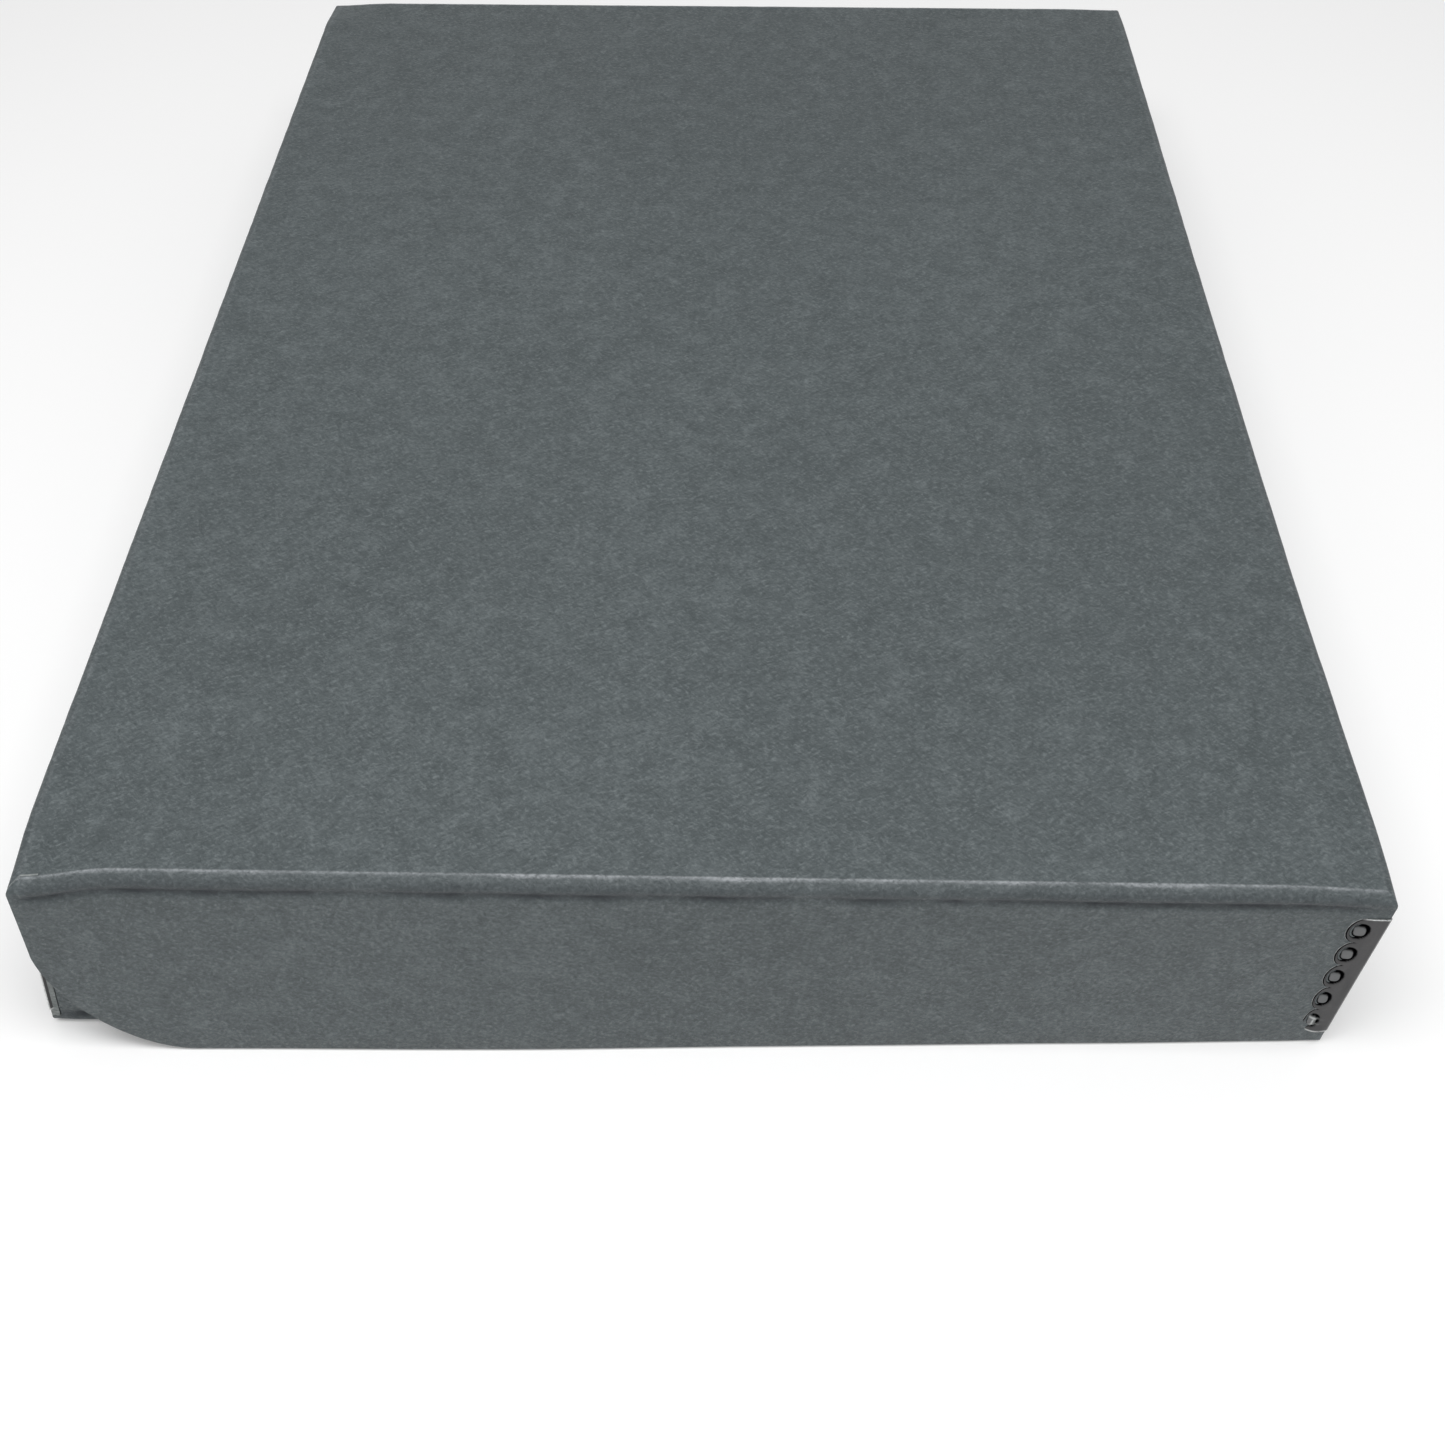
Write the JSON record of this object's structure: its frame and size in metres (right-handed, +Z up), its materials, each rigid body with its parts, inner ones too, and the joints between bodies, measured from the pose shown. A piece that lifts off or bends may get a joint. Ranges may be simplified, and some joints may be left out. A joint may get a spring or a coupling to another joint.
{
  "type": "archival folio box",
  "caption": "Clamshell archival box of blue-grey barrier board with a full-depth hinged lid, drop front and painted metal corner stays.",
  "frame": {"origin": "centre of the underside, on the surface the box lies on", "axes": "+X towards the opening side, -X the spine where the lid hinges; +Y along the box to its far end; +Z up"},
  "size_m": [0.23, 0.3062, 0.0445],
  "materials": {
    "lid_board": "matte blue-grey barrier board, fine fibre",
    "tray_board": "matte blue-grey barrier board, fine fibre",
    "stay_metal": "taupe-grey enamelled steel strip, satin, bare at the sheared ends"
  },
  "bodies": {
    "tray": {"tray_bottom": "tray_board", "tray_near_wall": "tray_board", "tray_far_wall": "tray_board", "spine_wall": "lid_board", "stay_spine_near": "stay_metal", "stay_spine_far": "stay_metal"},
    "lid": {"lid_panel": "lid_board", "lid_near_wall": "lid_board", "lid_far_wall": "lid_board", "lid_front_wall": "lid_board", "stay_front_near": "stay_metal", "stay_front_far": "stay_metal"},
    "drop_front": {"drop_front_wall": "tray_board"}
  },
  "joints": [
    {"name": "lid_hinge", "type": "hinge", "parent": "tray", "child": "lid", "pos_m": [-0.1135, 0, 0.0437], "axis": [0, -1, 0], "range_deg": [0, 190]},
    {"name": "drop_front_fold", "type": "hinge", "parent": "tray", "child": "drop_front", "pos_m": [0.1105, 0, 0.0005], "axis": [0, 1, 0], "range_deg": [0, 90]}
  ],
  "couplings": [
    {"joint": "drop_front_fold", "follows": "lid_hinge", "ratio": 0.4736}
  ]
}
